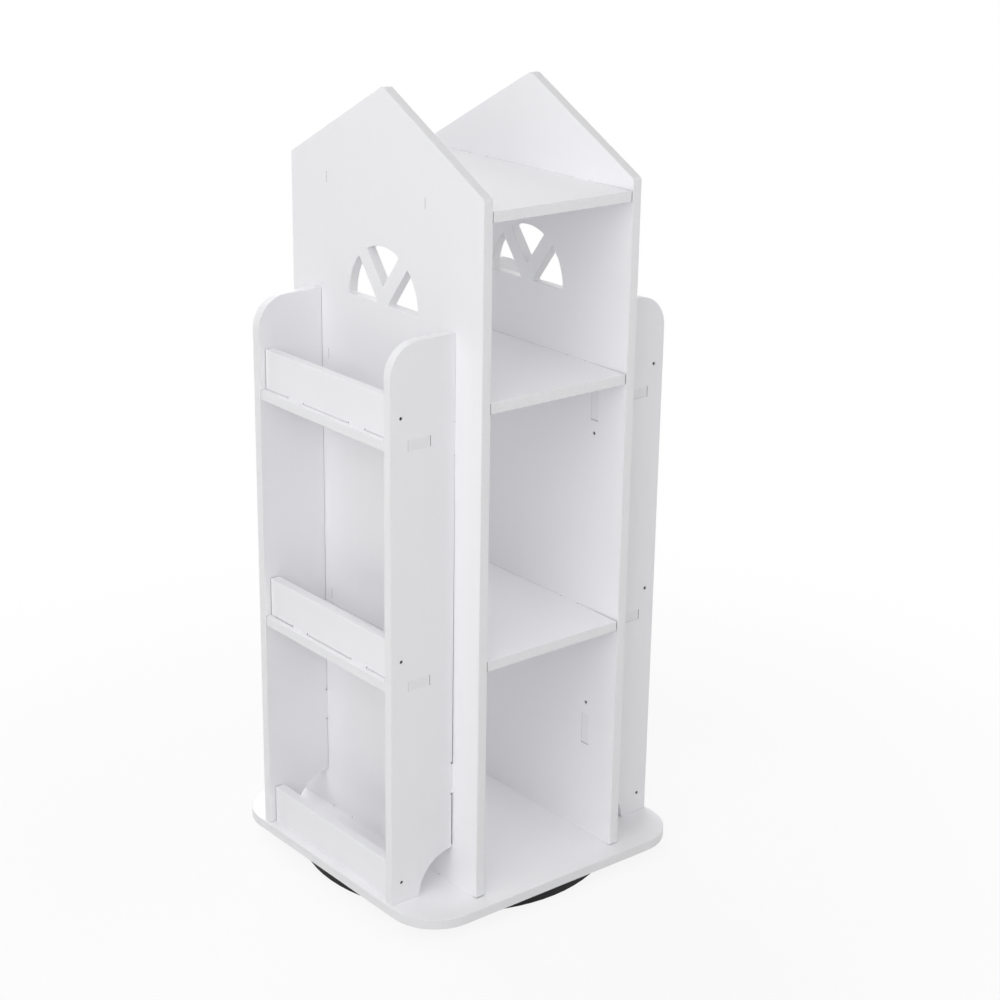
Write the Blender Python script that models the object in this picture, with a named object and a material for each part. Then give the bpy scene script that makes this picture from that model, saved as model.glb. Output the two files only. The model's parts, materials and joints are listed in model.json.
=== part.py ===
# Revolving house-shaped bookcase: a tower of boards that turns on a round disc.
# Metres, +Z up. The origin is on the floor under the turning axis. The open front faces -Y
# and the two gable panels, each with a display rack outside, stand at -X and +X.

import math

import bmesh
import bpy
from mathutils import Matrix, Vector

# Boards and fits
BOARD = 0.011                   # thickness of every board
EDGE_ROUND = 0.001              # radius along the exposed board edges
EDGE_STEPS = 2                  # facets in that radius
ARC_STEP = math.radians(10)     # largest turn between two points of an outline arc
JOINT_GAP = 0.0003              # clearance left in every joint and seat
ROOT_RELIEF = 0.0012            # small square cuts beside the root of every tenon and tab

# Gable panels. Heights are above the top of the base plate.
GABLE_WIDTH = 0.330
GABLE_SPACING = 0.181           # clear distance between the two gable panels
EAVE_HEIGHT = 0.754
APEX_HEIGHT = 0.842
EAVE_RADIUS = 0.004
APEX_RADIUS = 0.008
BASE_TAB_WIDTH = 0.0345         # tabs that go down through the base plate
BASE_TAB_SPACING = 0.1645       # between the two tabs of one panel

# Shelves between the gable panels, by the height of their tops
TOP_SHELF_HEIGHT = 0.7416
UPPER_SHELF_HEIGHT = 0.550
LOWER_SHELF_HEIGHT = 0.2725
SHELF_SETBACK = 0.001           # shelf fronts stand this far behind the panel fronts
TENON_WIDTH = 0.0275
TENON_SPACING = 0.171           # between the two tenons on one shelf end

# Fan window in each gable panel
WINDOW_SILL_HEIGHT = 0.6195
WINDOW_RADIUS = 0.060
SPOKE_WIDTH = 0.0177
SPOKE_LEAN = math.radians(37.5)  # from vertical
SPOKE_MEETING = 0.0033          # height above the sill where the spokes' middles meet

# Display racks outside the gable panels
RACK_DEPTH = 0.0805
RACK_WIDTH = 0.245
RACK_HEIGHT = 0.615
RACK_CORNER_RADIUS = 0.036
FOOT_NOTCH_RADIUS = 0.044
NOTCH_END_RADIUS = 0.0025       # rounds both ends of the foot notch
RACK_UPPER_SHELF_HEIGHT = 0.515
RACK_LOWER_SHELF_HEIGHT = 0.255
RACK_TENON_INSET = 0.0355       # shelf tenon centre, behind the rack's front
SIDE_TENON_LENGTH = 0.035       # side panel tenons through the gable panel
SIDE_UPPER_TENON_HEIGHT = 0.5062
SIDE_LOWER_TENON_HEIGHT = 0.1265
SIDE_SCREW_OFFSET = 0.0325      # screw centre from its tenon's centre

# Lips that hold the books on the racks
LIP_HEIGHT = 0.0435
LIP_SETBACK = 0.0065            # lip front behind the rack shelf's front
LIP_TAB_WIDTH = 0.0275
LIP_TAB_SPACING = 0.110
LIP_SCREW_HEIGHT = 0.024        # above the board that carries the lip

# Base plate
BASE_WIDTH = 0.370
BASE_CORNER_RADIUS = 0.055
BASE_SCREW_SPACING = 0.240      # between the two screws under one gable panel

# Slim wood screws
SCREW_LENGTH = 0.030
SCREW_RADIUS = 0.0013
SCREW_TIP = 0.003
SCREW_HEAD_RADIUS = 0.0018
SCREW_HEAD_HEIGHT = 0.0012
SCREW_RECESS_RADIUS = 0.0009
SCREW_RECESS_DEPTH = 0.0007
SCREW_SINK = 0.0008             # head top below the board's face
SCREW_SIDES = 10

# Turntable disc. Heights are above the floor.
DISC_RADIUS = 0.177
DISC_HEIGHT = 0.0135
DISC_LIFT = 0.0015              # underside of the disc above the floor
DISC_EDGE = 0.001               # chamfer round the rim
DISC_SIDES = 72
RIM_WIDTH = 0.012
RIM_CLEARANCE = 0.002           # between the rim and the base plate
WEB_THICKNESS = 0.004
FOOT_RADIUS = 0.012
FOOT_CIRCLE = 0.146             # radius on which the feet stand
FOOT_RECESS = 0.0012
FOOT_COUNT = 4
ROUND_SIDES = 20

# Swivel plate, glide ring and pivot inside the turntable
SWIVEL_RADIUS = 0.150
SWIVEL_THICKNESS = 0.003
GLIDE_INNER_RADIUS = 0.100
GLIDE_WIDTH = 0.020
GLIDE_THICKNESS = 0.003
TRACK_MARGIN = 0.003            # the track is this much wider than the glide ring, each side
HUB_WALL = 0.008
PIVOT_RADIUS = 0.004
PIVOT_HEAD_RADIUS = 0.008
PIVOT_HEAD_HEIGHT = 0.003
PIVOT_END = 0.0015              # bolt end above the nut
NUT_RADIUS = 0.0075
NUT_HEIGHT = 0.004
POCKET_CLEARANCE = 0.001        # round the nut, which stands still while the base plate turns

# Screws that hold the swivel plate to the base plate
SWIVEL_SCREW_CIRCLE = 0.070     # radius on which these screws stand
SWIVEL_SCREW_COUNT = 4
SWIVEL_SCREW_RADIUS = 0.0017
SWIVEL_SCREW_LENGTH = 0.0105
SWIVEL_SCREW_TIP = 0.002
SWIVEL_HEAD_RADIUS = 0.004
SWIVEL_HEAD_HEIGHT = 0.002
SWIVEL_CROWN_RADIUS = 0.0028    # flat top of the head
ACCESS_HOLE_RADIUS = 0.006

CUT_MARGIN = 0.002              # how far a cutter reaches past the face it enters
MERGE_DISTANCE = 0.000001       # points closer than this are one point
BOARD_SMOOTH_ANGLE = math.radians(20)
TURNED_SMOOTH_ANGLE = math.radians(30)
SCREW_SMOOTH_ANGLE = math.radians(50)

# Places worked out from the sizes above
half_board = BOARD / 2
base_bottom = DISC_LIFT + DISC_HEIGHT + RIM_CLEARANCE
base_top = base_bottom + BOARD
gable_inner = GABLE_SPACING / 2
gable_middle = gable_inner + half_board
gable_outer = gable_inner + BOARD
side_middle = RACK_WIDTH / 2 - half_board
side_inner = RACK_WIDTH / 2 - BOARD
lip_middle = RACK_DEPTH - SHELF_SETBACK - LIP_SETBACK - half_board
rack_tenon_middle = RACK_DEPTH - RACK_TENON_INSET
side_tenons = (SIDE_UPPER_TENON_HEIGHT, SIDE_LOWER_TENON_HEIGHT)
side_screws = (
    ("upper", SIDE_UPPER_TENON_HEIGHT - SIDE_SCREW_OFFSET),
    ("lower", SIDE_LOWER_TENON_HEIGHT + SIDE_SCREW_OFFSET),
)
lip_carriers = (
    ("upper", RACK_UPPER_SHELF_HEIGHT),
    ("middle", RACK_LOWER_SHELF_HEIGHT),
    ("bottom", 0.0),
)
pilot_radius = SCREW_RADIUS + JOINT_GAP
pilot_depth = SCREW_SINK + SCREW_LENGTH - BOARD + JOINT_GAP
swivel_top = base_bottom - JOINT_GAP
swivel_bottom = swivel_top - SWIVEL_THICKNESS
glide_top = swivel_bottom - JOINT_GAP
glide_bottom = glide_top - GLIDE_THICKNESS
track_top = glide_bottom - JOINT_GAP
web_top = DISC_LIFT + WEB_THICKNESS
pivot_bore = PIVOT_RADIUS + JOINT_GAP
pivot_head_bottom = DISC_LIFT + JOINT_GAP
pivot_head_top = pivot_head_bottom + PIVOT_HEAD_HEIGHT
nut_bottom = swivel_top + JOINT_GAP
nut_top = nut_bottom + NUT_HEIGHT
pivot_top = nut_top + PIVOT_END


# Outlines

def arc(centre, radius, start, end):
    """Points of an arc from one angle to another, both ends included."""
    steps = max(2, math.ceil(abs(end - start) / ARC_STEP))
    points = []
    for i in range(steps + 1):
        angle = start + (end - start) * i / steps
        points.append(Vector((centre[0] + radius * math.cos(angle), centre[1] + radius * math.sin(angle))))
    return points


def rounded_corner(before, corner, after, radius):
    """Points of the arc that rounds a convex corner of an outline that runs anticlockwise."""
    corner = Vector(corner)
    to_before = (Vector(before) - corner).normalized()
    to_after = (Vector(after) - corner).normalized()
    half_angle = to_before.angle(to_after) / 2
    centre = corner + (to_before + to_after).normalized() * radius / math.sin(half_angle)
    first = corner + to_before * radius / math.tan(half_angle) - centre
    start = math.atan2(first.y, first.x)
    return arc(centre, radius, start, start + math.pi - 2 * half_angle)


def rectangle(middle, size):
    """Corners of a rectangle, anticlockwise."""
    half = Vector(size) / 2
    corners = []
    for sign_u, sign_v in ((-1, -1), (1, -1), (1, 1), (-1, 1)):
        corners.append(Vector((middle[0] + sign_u * half.x, middle[1] + sign_v * half.y)))
    return corners


def tab_points(middle, width, seat, end):
    """One tab with its root relieved, as pairs of a place along the edge and a reach."""
    low, high = middle - width / 2, middle + width / 2
    root = seat - math.copysign(ROOT_RELIEF, end - seat)
    return [
        (low - ROOT_RELIEF, seat), (low - ROOT_RELIEF, root), (low, root), (low, end),
        (high, end), (high, root), (high + ROOT_RELIEF, root), (high + ROOT_RELIEF, seat),
    ]


def circle_crossing(point, direction, centre, radius):
    """Where a ray from a point inside a circle leaves it."""
    offset = point - centre
    along = offset.dot(direction)
    reach = -along + math.sqrt(along * along - offset.length_squared + radius * radius)
    return point + direction * reach


def window_openings():
    """The three openings that two leaning spokes leave in a half-round window."""
    sill = WINDOW_SILL_HEIGHT
    centre = Vector((0.0, sill))
    meeting = Vector((0.0, sill + SPOKE_MEETING))
    along = Vector((math.sin(SPOKE_LEAN), math.cos(SPOKE_LEAN)))
    across = Vector((math.cos(SPOKE_LEAN), -math.sin(SPOKE_LEAN))) * SPOKE_WIDTH / 2
    outer_start = meeting + across
    outer_foot = outer_start - along * (outer_start.y - sill) / along.y
    outer_end = circle_crossing(outer_foot, along, centre, WINDOW_RADIUS)
    inner_start = meeting - across
    inner_foot = inner_start - along * inner_start.x / along.x
    inner_end = circle_crossing(inner_foot, along, centre, WINDOW_RADIUS)
    outer_angle = math.atan2(outer_end.y - sill, outer_end.x)
    inner_angle = math.atan2(inner_end.y - sill, inner_end.x)
    right = [outer_foot] + arc(centre, WINDOW_RADIUS, 0.0, outer_angle)
    left = [Vector((-point.x, point.y)) for point in reversed(right)]
    middle = [inner_foot] + arc(centre, WINDOW_RADIUS, inner_angle, math.pi - inner_angle)
    return [left, middle, right]


# Solids

def add_prism(bm, outline, low, high):
    """Adds an outline in U and V, extruded along W from low to high."""
    verts = [bm.verts.new((point[0], point[1], low)) for point in outline]
    face = bm.faces.new(verts)
    extruded = bmesh.ops.extrude_face_region(bm, geom=[face])["geom"]
    top = [item for item in extruded if isinstance(item, bmesh.types.BMVert)]
    bmesh.ops.translate(bm, verts=top, vec=(0.0, 0.0, high - low))


def add_turned(bm, profile, sides, place=None):
    """Adds a profile of radii and heights, turned about Z and then moved to its place."""
    before = set(bm.verts)
    verts = [bm.verts.new((radius, 0.0, height)) for radius, height in profile]
    pairs = list(zip(verts, verts[1:]))
    if profile[0][0] > 0.0:
        pairs.append((verts[-1], verts[0]))
    edges = [bm.edges.new(pair) for pair in pairs]
    bmesh.ops.spin(
        bm, geom=verts + edges, cent=(0, 0, 0), axis=(0, 0, 1), dvec=(0, 0, 0),
        angle=2 * math.pi, steps=sides, use_merge=True, use_duplicate=False,
    )
    turned = [vert for vert in bm.verts if vert not in before]
    bmesh.ops.remove_doubles(bm, verts=turned, dist=MERGE_DISTANCE)
    if place is not None:
        turned = [vert for vert in bm.verts if vert not in before]
        bmesh.ops.transform(bm, matrix=place, verts=turned)


def facing(point, direction):
    """A placement that stands on a point with +Z along a direction."""
    turn = Vector(direction).to_track_quat("Z", "Y").to_matrix().to_4x4()
    return Matrix.Translation(Vector(point)) @ turn


def add_hole(bm, point, direction, radius, depth):
    """Adds a plain round cutter that enters at a point and runs along a direction."""
    profile = [(0.0, depth), (radius, depth), (radius, -CUT_MARGIN), (0.0, -CUT_MARGIN)]
    add_turned(bm, profile, SCREW_SIDES, facing(point, direction))


def add_screw_hole(bm, point, direction):
    """Adds the stepped cutter for a sunk screw that goes right through a board."""
    head = SCREW_HEAD_RADIUS + JOINT_GAP
    seat = SCREW_SINK + SCREW_HEAD_HEIGHT + JOINT_GAP
    end = BOARD + CUT_MARGIN
    profile = [
        (0.0, end), (pilot_radius, end), (pilot_radius, seat),
        (head, seat), (head, -CUT_MARGIN), (0.0, -CUT_MARGIN),
    ]
    add_turned(bm, profile, SCREW_SIDES, facing(point, direction))


def finished_mesh(bm, name, smooth_angle=TURNED_SMOOTH_ANGLE):
    """Turns a bmesh into a mesh with its faces out and its round faces smooth."""
    bmesh.ops.recalc_face_normals(bm, faces=bm.faces)
    mesh = bpy.data.meshes.new(name)
    bm.to_mesh(mesh)
    bm.free()
    mesh.shade_smooth()
    mesh.set_sharp_from_angle(angle=smooth_angle)
    return mesh


def cut_mesh(mesh, cutter_bm):
    """Cuts every shape of the cutter out of a mesh."""
    cutter_mesh = finished_mesh(cutter_bm, "cutter")
    body = bpy.data.objects.new("body", mesh)
    cutter = bpy.data.objects.new("cutter", cutter_mesh)
    for item in (body, cutter):
        bpy.context.scene.collection.objects.link(item)
    modifier = body.modifiers.new("cut", "BOOLEAN")
    modifier.operation = "DIFFERENCE"
    modifier.solver = "EXACT"
    modifier.object = cutter
    evaluated = body.evaluated_get(bpy.context.evaluated_depsgraph_get())
    result = bpy.data.meshes.new_from_object(evaluated)
    result.name = mesh.name
    result.set_sharp_from_angle(angle=TURNED_SMOOTH_ANGLE)
    for item in (body, cutter):
        bpy.data.objects.remove(item)
    bpy.data.meshes.remove(cutter_mesh)
    bpy.data.meshes.remove(mesh)
    return result


# A board is drawn in U and V and has its thickness along W, about W = 0.
BOARD_FRAMES = {
    "x": Matrix(((0, 0, 1, 0), (1, 0, 0, 0), (0, 1, 0, 0), (0, 0, 0, 1))),
    "y": Matrix(((1, 0, 0, 0), (0, 0, -1, 0), (0, 1, 0, 0), (0, 0, 0, 1))),
    "z": Matrix.Identity(4),
}


def board_mesh(name, outline, is_rounded, normal, cutter_bm=None):
    """Makes a board whose outline edges are rounded where is_rounded says so of their middle."""
    bm = bmesh.new()
    add_prism(bm, outline, -half_board, half_board)
    bmesh.ops.recalc_face_normals(bm, faces=bm.faces)
    rounded = []
    for edge in bm.edges:
        low, high = (vert.co for vert in edge.verts)
        middle = (low + high) / 2
        if abs(low.z - high.z) < half_board and is_rounded(middle.x, middle.y):
            rounded.append(edge)
    bmesh.ops.bevel(
        bm, geom=rounded, offset=EDGE_ROUND, offset_type="OFFSET", segments=EDGE_STEPS,
        profile=0.5, affect="EDGES", clamp_overlap=True,
    )
    mesh = finished_mesh(bm, name, BOARD_SMOOTH_ANGLE)
    if cutter_bm is not None:
        mesh = cut_mesh(mesh, cutter_bm)
    mesh.transform(BOARD_FRAMES[normal])
    return mesh


# Materials

def make_material(name, colour, roughness, metallic=0.0):
    material = bpy.data.materials.new(name)
    material.use_nodes = True
    shader = material.node_tree.nodes["Principled BSDF"]
    shader.inputs["Base Color"].default_value = (*colour, 1.0)
    shader.inputs["Roughness"].default_value = roughness
    shader.inputs["Metallic"].default_value = metallic
    material.diffuse_color = (*colour, 1.0)
    return material


def place_object(name, mesh, material, location, parent):
    """Adds one named piece, with a material of its own."""
    item = bpy.data.objects.new(name, mesh)
    item.location = location
    item.parent = parent
    bpy.context.scene.collection.objects.link(item)
    if not mesh.materials:
        mesh.materials.append(None)
    item.material_slots[0].link = "OBJECT"
    own = material.copy()
    own.name = name
    item.material_slots[0].material = own
    return item


def place_empty(name, turn, parent=None):
    """Adds a parent on the turning axis, turned about it."""
    empty = bpy.data.objects.new(name, None)
    empty.rotation_euler = (0.0, 0.0, turn)
    empty.parent = parent
    bpy.context.scene.collection.objects.link(empty)
    return empty


# Boards of the tower

def base_plate_mesh():
    half = BASE_WIDTH / 2
    corners = [(-half, -half), (half, -half), (half, half), (-half, half)]
    outline = []
    for i, corner in enumerate(corners):
        outline += rounded_corner(corners[i - 1], corner, corners[(i + 1) % 4], BASE_CORNER_RADIUS)
    cutter = bmesh.new()
    reach = half_board + CUT_MARGIN
    for sign_x in (-1, 1):
        lip_x = sign_x * (gable_outer + lip_middle)
        for sign_y in (-1, 1):
            tab = rectangle(
                (lip_x, sign_y * LIP_TAB_SPACING / 2),
                (BOARD + 2 * JOINT_GAP, LIP_TAB_WIDTH + 2 * JOINT_GAP),
            )
            add_prism(cutter, tab, -reach, reach)
            tab = rectangle(
                (sign_x * gable_middle, sign_y * BASE_TAB_SPACING / 2),
                (BOARD + 2 * JOINT_GAP, BASE_TAB_WIDTH + 2 * JOINT_GAP),
            )
            add_prism(cutter, tab, -reach, reach)
            screw = (sign_x * gable_middle, sign_y * BASE_SCREW_SPACING / 2, -half_board)
            add_screw_hole(cutter, screw, (0, 0, 1))
    depth = SWIVEL_SCREW_LENGTH - SWIVEL_THICKNESS
    for angle in swivel_screw_angles():
        x = SWIVEL_SCREW_CIRCLE * math.cos(angle)
        y = SWIVEL_SCREW_CIRCLE * math.sin(angle)
        add_hole(cutter, (x, y, -half_board), (0, 0, 1), SWIVEL_SCREW_RADIUS + JOINT_GAP, depth)
    pocket_top = pivot_top + POCKET_CLEARANCE - base_bottom - half_board
    pocket = NUT_RADIUS + POCKET_CLEARANCE
    profile = [(0.0, pocket_top), (pocket, pocket_top), (pocket, -reach), (0.0, -reach)]
    add_turned(cutter, profile, ROUND_SIDES)
    return board_mesh("base_plate", outline, lambda u, v: True, "z", cutter)


def gable_panel_mesh():
    half = GABLE_WIDTH / 2
    low_left, low_right = (-half, JOINT_GAP), (half, JOINT_GAP)
    eave_left, eave_right = (-half, EAVE_HEIGHT), (half, EAVE_HEIGHT)
    apex = (0.0, APEX_HEIGHT)
    outline = [Vector(low_left)]
    for sign in (-1, 1):
        outline += tab_points(sign * BASE_TAB_SPACING / 2, BASE_TAB_WIDTH, JOINT_GAP, -BOARD)
    outline.append(Vector(low_right))
    outline += rounded_corner(low_right, eave_right, apex, EAVE_RADIUS)
    outline += rounded_corner(eave_right, apex, eave_left, APEX_RADIUS)
    outline += rounded_corner(apex, eave_left, low_left, EAVE_RADIUS)
    cutter = bmesh.new()
    reach = half_board + CUT_MARGIN
    for opening in window_openings():
        add_prism(cutter, opening, -reach, reach)
    for sign in (-1, 1):
        for top in (TOP_SHELF_HEIGHT, UPPER_SHELF_HEIGHT, LOWER_SHELF_HEIGHT):
            mortise = rectangle(
                (sign * TENON_SPACING / 2, top - half_board),
                (TENON_WIDTH + 2 * JOINT_GAP, BOARD + 2 * JOINT_GAP),
            )
            add_prism(cutter, mortise, -reach, reach)
        for height in side_tenons:
            mortise = rectangle(
                (sign * side_middle, height),
                (BOARD + 2 * JOINT_GAP, SIDE_TENON_LENGTH + 2 * JOINT_GAP),
            )
            add_prism(cutter, mortise, -reach, reach)
        for _, height in side_screws:
            add_screw_hole(cutter, (sign * side_middle, height, -half_board), (0, 0, 1))
        screw = (sign * BASE_SCREW_SPACING / 2, JOINT_GAP, 0.0)
        add_hole(cutter, screw, (0, 1, 0), pilot_radius, pilot_depth)
    return board_mesh("gable_panel", outline, lambda u, v: v > 2 * ROOT_RELIEF, "x", cutter)


def tower_shelf_mesh():
    """A shelf with two tenons at each end, which go right through the gable panels."""
    shoulder = gable_inner - JOINT_GAP
    front = GABLE_WIDTH / 2 - SHELF_SETBACK
    right = [(shoulder, -front)]
    for sign in (-1, 1):
        tenon = tab_points(sign * TENON_SPACING / 2, TENON_WIDTH, shoulder, gable_outer)
        right += [(u, v) for v, u in tenon]
    right.append((shoulder, front))
    left = [(-u, -v) for u, v in right]
    return board_mesh("tower_shelf", right + left, lambda u, v: abs(v) > front - EDGE_ROUND, "z")


# Boards of the racks, drawn for the rack at +X. U = 0 is the gable panel's outer face.

def add_notch_end(bm, is_foot):
    """Adds the cutter that rounds one end of the foot notch, at the base plate or at the panel."""
    near = JOINT_GAP + NOTCH_END_RADIUS
    far = math.sqrt((FOOT_NOTCH_RADIUS + NOTCH_END_RADIUS) ** 2 - near ** 2)
    lean = math.atan2(near, far)
    points = arc((near, far), NOTCH_END_RADIUS, -math.pi, -math.pi / 2 - lean)
    points[0] += points[0] - points[1]
    points[-1] += points[-1] - points[-2]
    inside = FOOT_NOTCH_RADIUS - NOTCH_END_RADIUS - CUT_MARGIN
    last = points[-1].x
    for point in ((last, inside), (-CUT_MARGIN, inside), (-CUT_MARGIN, points[0].y)):
        points.append(Vector(point))
    if is_foot:
        points = [point.yx for point in reversed(points)]
    reach = half_board + CUT_MARGIN
    add_prism(bm, points, -reach, reach)


def rack_side_mesh(side):
    """A side panel at y = side, with two tenons that go right through the gable panel."""
    corner = (RACK_DEPTH, RACK_HEIGHT)
    notch_end = math.asin(JOINT_GAP / FOOT_NOTCH_RADIUS)
    outline = [Vector((RACK_DEPTH, JOINT_GAP))]
    outline += rounded_corner((RACK_DEPTH, JOINT_GAP), corner, (0.0, RACK_HEIGHT), RACK_CORNER_RADIUS)
    outline.append(Vector((JOINT_GAP, RACK_HEIGHT)))
    for height in side_tenons:
        tenon = tab_points(height, SIDE_TENON_LENGTH, JOINT_GAP, -BOARD)
        outline += [Vector((u, v)) for v, u in reversed(tenon)]
    outline += arc((0.0, 0.0), FOOT_NOTCH_RADIUS, math.pi / 2 - notch_end, notch_end)
    cutter = bmesh.new()
    for is_foot in (False, True):
        add_notch_end(cutter, is_foot)
    reach = half_board + CUT_MARGIN
    for height in (RACK_UPPER_SHELF_HEIGHT, RACK_LOWER_SHELF_HEIGHT):
        mortise = rectangle(
            (rack_tenon_middle, height - half_board),
            (TENON_WIDTH + 2 * JOINT_GAP, BOARD + 2 * JOINT_GAP),
        )
        add_prism(cutter, mortise, -reach, reach)
    for _, height in lip_carriers:
        point = (lip_middle, height + LIP_SCREW_HEIGHT, -side * half_board)
        add_screw_hole(cutter, point, (0, 0, side))
    for _, height in side_screws:
        add_hole(cutter, (JOINT_GAP, height, 0.0), (1, 0, 0), pilot_radius, pilot_depth)

    def is_rounded(u, v):
        return u > 2 * ROOT_RELIEF and v > 2 * JOINT_GAP
    return board_mesh("rack_side", outline, is_rounded, "y", cutter)


def rack_shelf_mesh():
    front = RACK_DEPTH - SHELF_SETBACK
    shoulder = side_inner - JOINT_GAP
    tenon = tab_points(rack_tenon_middle, TENON_WIDTH, -shoulder, -RACK_WIDTH / 2)
    near = [(JOINT_GAP, -shoulder)] + tenon + [(front, -shoulder)]
    far = [(u, -v) for u, v in reversed(near)]
    cutter = bmesh.new()
    reach = half_board + CUT_MARGIN
    for sign in (-1, 1):
        mortise = rectangle(
            (lip_middle, sign * LIP_TAB_SPACING / 2),
            (BOARD + 2 * JOINT_GAP, LIP_TAB_WIDTH + 2 * JOINT_GAP),
        )
        add_prism(cutter, mortise, -reach, reach)
    return board_mesh("rack_shelf", near + far, lambda u, v: u > front - EDGE_ROUND, "z", cutter)


def lip_mesh():
    """A lip with two tabs below, which go right through the board that carries it."""
    end = side_inner - JOINT_GAP
    outline = [(-end, JOINT_GAP)]
    for sign in (-1, 1):
        outline += tab_points(sign * LIP_TAB_SPACING / 2, LIP_TAB_WIDTH, JOINT_GAP, -BOARD)
    outline += [(end, JOINT_GAP), (end, LIP_HEIGHT), (-end, LIP_HEIGHT)]
    cutter = bmesh.new()
    for sign in (-1, 1):
        add_hole(cutter, (sign * end, LIP_SCREW_HEIGHT, 0.0), (-sign, 0, 0), pilot_radius, pilot_depth)
    return board_mesh("lip", outline, lambda u, v: v > LIP_HEIGHT - EDGE_ROUND, "x", cutter)


# Screws. Each stands at the point where it enters, with its shank along -Z.

def wood_screw_mesh():
    top = -SCREW_SINK
    under_head = top - SCREW_HEAD_HEIGHT
    end = top - SCREW_LENGTH
    profile = [
        (0.0, top - SCREW_RECESS_DEPTH), (SCREW_RECESS_RADIUS, top), (SCREW_HEAD_RADIUS, top),
        (SCREW_HEAD_RADIUS, under_head), (SCREW_RADIUS, under_head), (SCREW_RADIUS, end + SCREW_TIP),
        (0.0, end),
    ]
    bm = bmesh.new()
    add_turned(bm, profile, SCREW_SIDES)
    return finished_mesh(bm, "wood_screw", SCREW_SMOOTH_ANGLE)


def swivel_screw_mesh():
    """A pan-head screw whose head bears on the swivel plate's underside."""
    top = SWIVEL_HEAD_HEIGHT
    end = -SWIVEL_SCREW_LENGTH
    profile = [
        (0.0, top), (SWIVEL_CROWN_RADIUS, top), (SWIVEL_HEAD_RADIUS, top / 2),
        (SWIVEL_HEAD_RADIUS, JOINT_GAP), (SWIVEL_SCREW_RADIUS, JOINT_GAP),
        (SWIVEL_SCREW_RADIUS, end + SWIVEL_SCREW_TIP), (0.0, end),
    ]
    bm = bmesh.new()
    add_turned(bm, profile, SCREW_SIDES)
    return finished_mesh(bm, "swivel_screw", SCREW_SMOOTH_ANGLE)


def place_screw(name, mesh, material, point, inward, parent):
    """Stands a screw at its entry point, with its shank along inward."""
    screw = place_object(name, mesh, material, point, parent)
    screw.rotation_euler = (-Vector(inward)).to_track_quat("Z", "Y").to_euler()
    return screw


def swivel_screw_angles():
    return [math.pi / 4 + 2 * math.pi * i / SWIVEL_SCREW_COUNT for i in range(SWIVEL_SCREW_COUNT)]


def foot_places():
    places = []
    for i in range(FOOT_COUNT):
        angle = math.pi / 4 + 2 * math.pi * i / FOOT_COUNT
        places.append((FOOT_CIRCLE * math.cos(angle), FOOT_CIRCLE * math.sin(angle)))
    return places


# Turntable

def turntable_disc_mesh():
    """A shallow dish: an outer rim, a flat web, a raised track and a hub round the pivot."""
    rim_top = DISC_LIFT + DISC_HEIGHT
    rim_inner = DISC_RADIUS - RIM_WIDTH
    track_inner = GLIDE_INNER_RADIUS - TRACK_MARGIN
    track_outer = GLIDE_INNER_RADIUS + GLIDE_WIDTH + TRACK_MARGIN
    hub = pivot_bore + HUB_WALL
    head_bore = PIVOT_HEAD_RADIUS + JOINT_GAP
    head_seat = pivot_head_top + JOINT_GAP
    profile = [
        (pivot_bore, glide_top), (hub, glide_top), (hub, web_top),
        (track_inner, web_top), (track_inner, track_top), (track_outer, track_top), (track_outer, web_top),
        (rim_inner, web_top), (rim_inner, rim_top - DISC_EDGE), (rim_inner + DISC_EDGE, rim_top),
        (DISC_RADIUS - DISC_EDGE, rim_top), (DISC_RADIUS, rim_top - DISC_EDGE),
        (DISC_RADIUS, DISC_LIFT + DISC_EDGE), (DISC_RADIUS - DISC_EDGE, DISC_LIFT),
        (head_bore, DISC_LIFT), (head_bore, head_seat), (pivot_bore, head_seat),
    ]
    bm = bmesh.new()
    add_turned(bm, profile, DISC_SIDES)
    mesh = finished_mesh(bm, "turntable_disc")
    cutter = bmesh.new()
    recess = DISC_LIFT + FOOT_RECESS
    radius = FOOT_RADIUS + JOINT_GAP
    below = DISC_LIFT - CUT_MARGIN
    for x, y in foot_places():
        profile = [(0.0, recess), (radius, recess), (radius, below), (0.0, below)]
        add_turned(cutter, profile, ROUND_SIDES, Matrix.Translation((x, y, 0.0)))
    above = web_top + CUT_MARGIN
    profile = [(0.0, above), (ACCESS_HOLE_RADIUS, above), (ACCESS_HOLE_RADIUS, below), (0.0, below)]
    add_turned(cutter, profile, ROUND_SIDES, Matrix.Translation((SWIVEL_SCREW_CIRCLE, 0.0, 0.0)))
    return cut_mesh(mesh, cutter)


def rubber_foot_mesh():
    top = DISC_LIFT + FOOT_RECESS - JOINT_GAP
    bm = bmesh.new()
    add_turned(bm, [(0.0, top), (FOOT_RADIUS, top), (FOOT_RADIUS, 0.0), (0.0, 0.0)], ROUND_SIDES)
    return finished_mesh(bm, "rubber_foot")


def glide_ring_mesh():
    outer = GLIDE_INNER_RADIUS + GLIDE_WIDTH
    profile = [
        (GLIDE_INNER_RADIUS, glide_top), (outer, glide_top),
        (outer, glide_bottom), (GLIDE_INNER_RADIUS, glide_bottom),
    ]
    bm = bmesh.new()
    add_turned(bm, profile, DISC_SIDES)
    return finished_mesh(bm, "glide_ring")


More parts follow.
